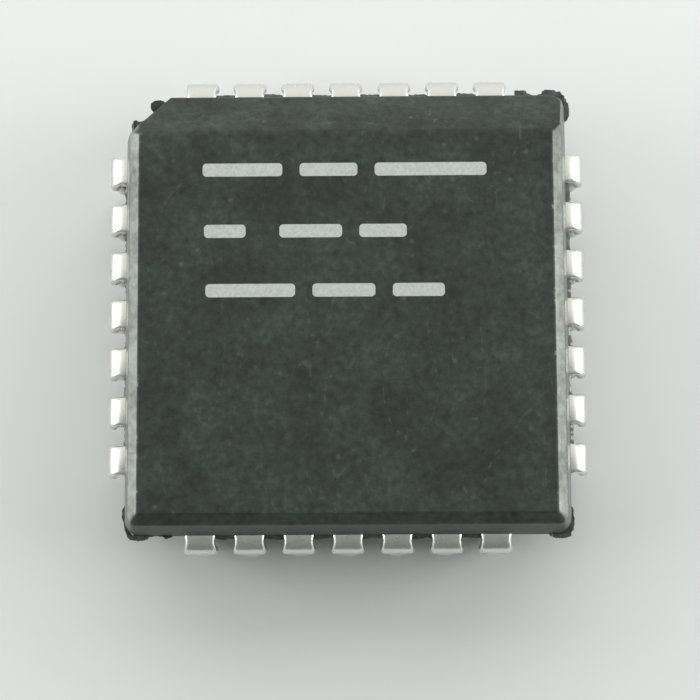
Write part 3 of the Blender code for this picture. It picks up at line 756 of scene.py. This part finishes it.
def finMesh():
    # thin plates of resin squeezed out at the corners, with broken edges
    rng = random.Random(fins["seed"])
    bm = bmesh.new()
    inside = body["half"] - fins["root"]
    for (xSide, ySide), edge in fins["shapes"].values():
        outline = [Vector((body["half"] + x * mm, body["half"] + y * mm)) for x, y in edge]
        outline = brokenEdge(outline, rng)
        outline = [Vector((outline[0].x, inside))] + outline + [Vector((inside, outline[-1].y))]
        if xSide * ySide > 0:  # the points run clockwise there, so they are turned round
            outline.reverse()
        low = [bm.verts.new((p.x * xSide, p.y * ySide, fins["height"])) for p in outline]
        high = {vert: bm.verts.new(vert.co) for vert in low}
        for vert in high.values():
            vert.co.z += fins["thickness"] * rng.uniform(*fins["uneven"])
        # the flat underside is cut up first, and the uneven top after it, so that no
        # triangle spans a notch in the edge
        under = bmesh.ops.triangulate(bm, faces=[bm.faces.new(reversed(low))],
                                      ngon_method="EAR_CLIP")["faces"]
        for face in under:
            bm.faces.new([high[vert] for vert in reversed(face.verts)])
        for i in range(len(low)):
            bm.faces.new((low[i - 1], low[i], high[low[i]], high[low[i - 1]]))
    bmesh.ops.triangulate(bm, faces=bm.faces)
    return closeMesh("corner fins", bm)


pockets = {
    "Per side": 7,
    "Pitch": 1.27 * mm,
    "Inner end": 4.38 * mm,  # from the middle of the body
    "Outer end": 6.15 * mm,
    "Width": 0.80 * mm,
    "Ceiling": 0.95 * mm,
    "Floor": 0.15 * mm,
}
ejectorMark = {"radius": 0.90 * mm, "depth": 0.06 * mm, "steps": 64}


def pocketTree():
    # the hollows in the underside that the turned-in feet reach into
    tree = newTree("pockets for the feet", pockets)
    given = addNode(tree, "NodeGroupInput").outputs
    length = addNode(tree, "ShaderNodeMath", {0: given["Outer end"], 1: given["Inner end"]},
                     operation="SUBTRACT")
    height = addNode(tree, "ShaderNodeMath", {0: given["Ceiling"], 1: given["Floor"]},
                     operation="SUBTRACT")
    size = addNode(tree, "ShaderNodeCombineXYZ", {0: length, 1: given["Width"], 2: height})
    block = addNode(tree, "GeometryNodeMeshCube", {"Size": size})
    middle, level = (addNode(tree, "ShaderNodeMath", {
        0: addNode(tree, "ShaderNodeMath", {0: given[far], 1: given[near]}, operation="ADD"),
        1: 0.5}, operation="MULTIPLY")
        for far, near in (("Outer end", "Inner end"), ("Ceiling", "Floor")))
    side = sideRow(tree, block, given["Per side"], given["Pitch"], middle, level)
    join = addNode(tree, "GeometryNodeJoinGeometry")
    for quarter in range(4):
        turned = addNode(tree, "GeometryNodeTransform", {
            "Geometry": side, "Rotation": Euler((0, 0, quarter * math.pi / 2))})
        tree.links.new(turned.outputs[0], join.inputs[0])
    closeTree(tree, join, given["Material"])
    return tree


def ejectorMesh():
    # a low cylinder half sunk in the underside
    bm = bmesh.new()
    bmesh.ops.create_cone(bm, cap_ends=True, segments=ejectorMark["steps"],
                          radius1=ejectorMark["radius"], radius2=ejectorMark["radius"],
                          depth=2 * ejectorMark["depth"],
                          matrix=Matrix.Translation((0, 0, body["underside"])))
    return closeMesh("ejector mark", bm)


def makeBody():
    piece = newPiece("moulded_resin_body", bodyShell())
    rounding = piece.modifiers.new("rounded edges", "BEVEL")
    rounding.width = body["rounding"]
    rounding.limit_method = "WEIGHT"
    rounding.segments = body["roundingSteps"]
    bake(piece)
    piece.data.materials.append(resin)
    rim = treePiece("flash rim", flashTree(), resin)
    corners = newPiece("corner fins", finMesh())
    hollows = treePiece("pockets", pocketTree(), resin)
    mark = newPiece("ejector mark", ejectorMesh())
    tools = ((rim, "UNION"), (corners, "UNION"), (hollows, "DIFFERENCE"), (mark, "DIFFERENCE"))
    for tool, operation in tools:
        cut = piece.modifiers.new(tool.name, "BOOLEAN")
        cut.object = tool
        cut.operation = operation
        cut.solver = "MANIFOLD"
        bake(piece)
        bpy.data.objects.remove(tool)
    bm = bmesh.new()
    bm.from_mesh(piece.data)
    bmesh.ops.remove_doubles(bm, verts=bm.verts, dist=body["sliver"])
    bmesh.ops.triangulate(bm, faces=bm.faces)
    bm.to_mesh(piece.data)
    bm.free()
    finishShading(piece, body["sharpAngle"])
    piece.data.materials.clear()
    piece.data.materials.append(resin)
    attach(piece, "root")
    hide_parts("moulded_body")
    print("body made:", len(piece.data.polygons), "faces")


makeBody()

lead = {
    "Sheet thickness": 0.25 * mm,
    "Edge rounding": 0.105 * mm,
    "Rounding steps": 4,
    "Widest half": 0.45 * mm,
    "Sheet height": 2.67 * mm,
    "Bend start": 5.80 * mm,  # from the middle of the body, where the strip's own length is 0
    "Shoulder radius": 0.30 * mm,
    "Leg length": 1.47 * mm,
    "Foot radius": 0.775 * mm,
    "Foot turn": math.radians(152),
    "Tip half width": 0.15 * mm,
    "Tip run ends": -3.20 * mm,
    "Finger half width": 0.30 * mm,
    "Finger starts": -0.70 * mm,
    "Exit half width": 0.41 * mm,
    "Exit": -0.05 * mm,
    "Waist half width": 0.38 * mm,
    "Waist": 0.08 * mm,
    "Stub rises": 0.10 * mm,
    "Stub starts": 0.46 * mm,
    "Left stub half width": 0.45 * mm,
    "Right stub half width": 0.45 * mm,
    "Stub ends": 0.52 * mm,
    "Shoulder starts": 0.59 * mm,
    "Shoulder half width": 0.36 * mm,
    "Shoulder ends": 0.816 * mm,
    "Foot starts": 0.976 * mm,
    "Foot half width": 0.215 * mm,
    "Tip place": 0.0,
    "Lead place": 0.0,
    "Side turn": 0.0,
}
leadRow = {
    "perSide": 7,
    "pitch": 1.27 * mm,
    "tipPitch": 0.55404 * mm,
    "tip": -3.55 * mm,
    "bendStep": math.radians(6),
    "closest": 0.004 * mm,  # nearest that two rings of the strip may lie
    "sharpAngle": 40,  # degrees, from which an edge is shaded sharp
    "stubSpread": 0.022 * mm,  # how unevenly the dam bar was cut
    "seed": 5,
}


def leadStations():
    # where the strip gets a ring of vertices: at each change of width, and close together in bends
    shoulderArc = lead["Shoulder radius"] * math.pi / 2
    footStart = shoulderArc + lead["Leg length"]
    footEnd = footStart + lead["Foot radius"] * lead["Foot turn"]
    stations = [leadRow["tip"], 0.0, shoulderArc, footStart, footEnd]
    for name in ("Tip run ends", "Finger starts", "Exit", "Waist", "Stub rises", "Stub starts",
                 "Stub ends", "Shoulder starts", "Shoulder ends", "Foot starts"):
        stations.append(lead[name])
    for start, radius, turn in ((0.0, lead["Shoulder radius"], math.pi / 2),
                                (footStart, lead["Foot radius"], lead["Foot turn"])):
        steps = round(turn / leadRow["bendStep"])
        stations += [start + radius * turn * i / steps for i in range(1, steps)]
    stations.sort()
    return [s for i, s in enumerate(stations) if i == 0 or s - stations[i - 1] > leadRow["closest"]]


def leadTree():
    # a flat strip with rounded edges is given its widths, then bent over the shoulder and the foot
    tree = newTree("formed J lead", lead)
    given = addNode(tree, "NodeGroupInput").outputs
    width = addNode(tree, "ShaderNodeMath", {0: given["Widest half"], 1: 2.0}, operation="MULTIPLY")
    outline = addNode(tree, "GeometryNodeCurvePrimitiveQuadrilateral", {
        "Width": width, "Height": given["Sheet thickness"]})
    rounded = addNode(tree, "GeometryNodeFilletCurve", {
        "Curve": outline, "Count": given["Rounding steps"],
        "Radius": given["Edge rounding"]}, mode="POLY")
    line = addNode(tree, "GeometryNodeMeshToCurve", {0: given["Geometry"]})
    strip = addNode(tree, "GeometryNodeCurveToMesh", {
        "Curve": line, "Profile Curve": rounded, "Fill Caps": True})
    place = addNode(tree, "GeometryNodeInputPosition")
    parts = addNode(tree, "ShaderNodeSeparateXYZ", {0: place}).outputs
    along, across, through = parts[0], parts[1], parts[2]
    onRight = addNode(tree, "FunctionNodeCompare", {0: across, 1: 0.0}, operation="GREATER_THAN")
    stub = addNode(tree, "GeometryNodeSwitch", {
        0: onRight, 1: given["Left stub half width"],
        2: given["Right stub half width"]}, input_type="FLOAT")
    half = given["Tip half width"]
    for start, end, value in (
            ("Tip run ends", "Finger starts", given["Finger half width"]),
            ("Finger starts", "Exit", given["Exit half width"]),
            ("Exit", "Waist", given["Waist half width"]),
            ("Stub rises", "Stub starts", stub),
            ("Stub ends", "Shoulder starts", given["Shoulder half width"]),
            ("Shoulder ends", "Foot starts", given["Foot half width"])):
        half = addNode(tree, "ShaderNodeMapRange", {
            "Value": along, "From Min": given[start], "From Max": given[end],
            "To Min": half, "To Max": value})
    distance = addNode(tree, "ShaderNodeMath", {0: across}, operation="ABSOLUTE")
    fromEdge = addNode(tree, "ShaderNodeMath", {0: given["Widest half"], 1: distance},
                       operation="SUBTRACT")
    sideways = addNode(tree, "ShaderNodeMath", {0: half, 1: fromEdge}, operation="SUBTRACT")
    sign = addNode(tree, "ShaderNodeMath", {0: across}, operation="SIGN")
    shift = addNode(tree, "ShaderNodeMapRange", {
        "Value": along, "From Min": given["Tip run ends"], "From Max": given["Finger starts"],
        "To Min": given["Tip place"], "To Max": given["Lead place"]})
    sidePlace = addNode(tree, "ShaderNodeMath", {
        0: sideways, 1: sign, 2: shift}, operation="MULTIPLY_ADD")
    # angles of the shoulder and the foot, and the straight runs before and between them
    shoulderArc = addNode(tree, "ShaderNodeMath", {0: given["Shoulder radius"], 1: math.pi / 2},
                          operation="MULTIPLY")
    footStart = addNode(tree, "ShaderNodeMath", {0: shoulderArc, 1: given["Leg length"]},
                        operation="ADD")
    footEnd = addNode(tree, "ShaderNodeMath", {
        0: given["Foot radius"], 1: given["Foot turn"], 2: footStart}, operation="MULTIPLY_ADD")
    straight = addNode(tree, "ShaderNodeMath", {0: along, 1: 0.0}, operation="MINIMUM")
    shoulderTurn, legRun, footTurn = (addNode(tree, "ShaderNodeMapRange", {
        "Value": along, "From Min": start, "From Max": end, "To Max": reach})
        for start, end, reach in ((0.0, shoulderArc, math.pi / 2),
                                  (shoulderArc, footStart, given["Leg length"]),
                                  (footStart, footEnd, given["Foot turn"])))
    turn = addNode(tree, "ShaderNodeMath", {0: shoulderTurn, 1: footTurn}, operation="ADD")
    sines, cosines = ([addNode(tree, "ShaderNodeMath", {0: angle},
                               operation=kind)
                       for angle in (shoulderTurn, footTurn, turn)] for kind in ("SINE", "COSINE"))
    footRise = addNode(tree, "ShaderNodeMath", {0: sines[1], 1: -1.0}, operation="MULTIPLY")
    sums = []
    for total, products in (
            # outwards: straight run, shoulder, foot, place in the sheet's thickness
            (given["Bend start"], (
                (straight, 1.0), (given["Shoulder radius"], sines[0]),
                (given["Foot radius"], cosines[1]), (given["Foot radius"], -1.0),
                (through, sines[2]))),
            # upwards: shoulder, leg, foot, place in the sheet's thickness
            (given["Sheet height"], (
                (given["Shoulder radius"], cosines[0]), (given["Shoulder radius"], -1.0),
                (legRun, -1.0), (given["Foot radius"], footRise),
                (through, cosines[2])))):
        for one, other in products:
            total = addNode(tree, "ShaderNodeMath", {0: one, 1: other, 2: total},
                            operation="MULTIPLY_ADD")
        sums.append(total)
    out, up = sums
    kept = addNode(tree, "ShaderNodeCombineXYZ", {0: across, 1: along, 2: through})
    marked = addNode(tree, "GeometryNodeStoreNamedAttribute", {
        "Geometry": strip, "Name": "stripPlace", "Value": kept},
        data_type="FLOAT_VECTOR", domain="POINT")
    bent = addNode(tree, "ShaderNodeCombineXYZ", {0: out, 1: sidePlace, 2: up})
    formed = addNode(tree, "GeometryNodeSetPosition", {"Geometry": marked, "Position": bent})
    angle = addNode(tree, "ShaderNodeCombineXYZ", {2: given["Side turn"]})
    turned = addNode(tree, "GeometryNodeTransform", {"Geometry": formed, "Rotation": angle})
    closeTree(tree, turned, given["Material"])
    return tree


def makeLeads():
    tree = leadTree()
    stations = leadStations()
    rng = random.Random(leadRow["seed"])
    middle = leadRow["perSide"] // 2
    total = 4 * leadRow["perSide"]
    for side in range(4):
        for rank in range(-middle, middle + 1):
            pin = ((side - 1) * leadRow["perSide"] + rank) % total + 1
            mesh = bpy.data.meshes.new("strip")
            mesh.from_pydata([(s, 0, 0) for s in stations],
                             [(i, i + 1) for i in range(len(stations) - 1)], [])
            piece = newPiece("formed_lead_%02d" % pin, mesh)
            spread = leadRow["stubSpread"]
            useTree(piece, tree, {
                "Tip place": rank * leadRow["tipPitch"],
                "Lead place": rank * leadRow["pitch"],
                "Side turn": side * math.pi / 2,
                "Left stub half width": lead["Widest half"] - rng.uniform(0, spread),
                "Right stub half width": lead["Widest half"] - rng.uniform(0, spread),
                "Material": tin,
            })
            bake(piece)
            finishShading(piece, leadRow["sharpAngle"])
            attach(piece, "root")
            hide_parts("lead_%02d" % pin)
    print("leads made:", total, "with", len(stations), "stations each")


makeLeads()

bars = {
    "Bar height": 0.34 * mm,
    "Corner": 0.10 * mm,
    "Corner steps": 6,
    "Ink thickness": 0.004 * mm,
    "Ink top": 4.37 * mm,
    "Weld": 0.0005 * mm,
}
barRows = {
    # row: (its height on the face, start and end of each bar), in mm
    "upper": (3.49, ((-3.66, -1.62), (-1.18, 0.30), (0.74, 3.60))),
    "middle": (1.90, ((-3.62, -2.56), (-1.70, -0.10), (0.34, 1.55))),
    "lower": (0.37, ((-3.58, -1.30), (-0.86, 0.74), (1.18, 2.50))),
}


def barTree():
    # plain bars of ink with round corners, a few microns thick
    tree = newTree("printed bars", bars)
    given = addNode(tree, "NodeGroupInput").outputs
    low = addNode(tree, "ShaderNodeMath", {0: given["Ink top"], 1: given["Ink thickness"]},
                  operation="SUBTRACT")
    flat = addNode(tree, "GeometryNodeJoinGeometry")
    for height, ends in barRows.values():
        for start, end in ends:
            outline = addNode(tree, "GeometryNodeCurvePrimitiveQuadrilateral", {
                "Width": (end - start) * mm, "Height": given["Bar height"]})
            rounded = addNode(tree, "GeometryNodeFilletCurve", {
                "Curve": outline, "Count": given["Corner steps"],
                "Radius": given["Corner"]}, mode="POLY")
            filled = addNode(tree, "GeometryNodeFillCurve", {0: rounded}, mode="NGONS")
            place = addNode(tree, "ShaderNodeCombineXYZ", {
                0: (start + end) / 2 * mm, 1: height * mm, 2: low})
            moved = addNode(tree, "GeometryNodeTransform", {
                "Geometry": filled, "Translation": place})
            tree.links.new(moved.outputs[0], flat.inputs[0])
    raised = addNode(tree, "GeometryNodeExtrudeMesh", {
        "Mesh": flat, "Offset Scale": given["Ink thickness"], "Individual": False})
    under = addNode(tree, "GeometryNodeFlipFaces", {0: flat})
    both = addNode(tree, "GeometryNodeJoinGeometry")
    tree.links.new(raised.outputs[0], both.inputs[0])
    tree.links.new(under.outputs[0], both.inputs[0])
    closed = addNode(tree, "GeometryNodeMergeByDistance", {
        "Geometry": both, "Distance": given["Weld"]})
    closeTree(tree, closed, given["Material"])
    return tree


def makeBars():
    piece = treePiece("printed_marking_bars", barTree(), ink)
    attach(piece, "root")
    print("printed bars made:", len(piece.data.polygons), "faces")


makeBars()

# what the resin holds keeps its CAD shape; leads, paddle and tie bars are one tinned sheet
finishes = {"bond_wire": gold, "silicon_die": silicon, "die_attach": epoxy, "moulded_body": resin}
for nodeName, node in cadNodes.items():
    finish = tin
    for start, material in finishes.items():
        if nodeName.startswith(start):
            finish = material
    for materialSlot in node.material_slots:
        materialSlot.material = finish
print("CAD pieces given their finishes:", len(cadNodes))

scene = bpy.context.scene
scene.view_settings.view_transform = "Standard"
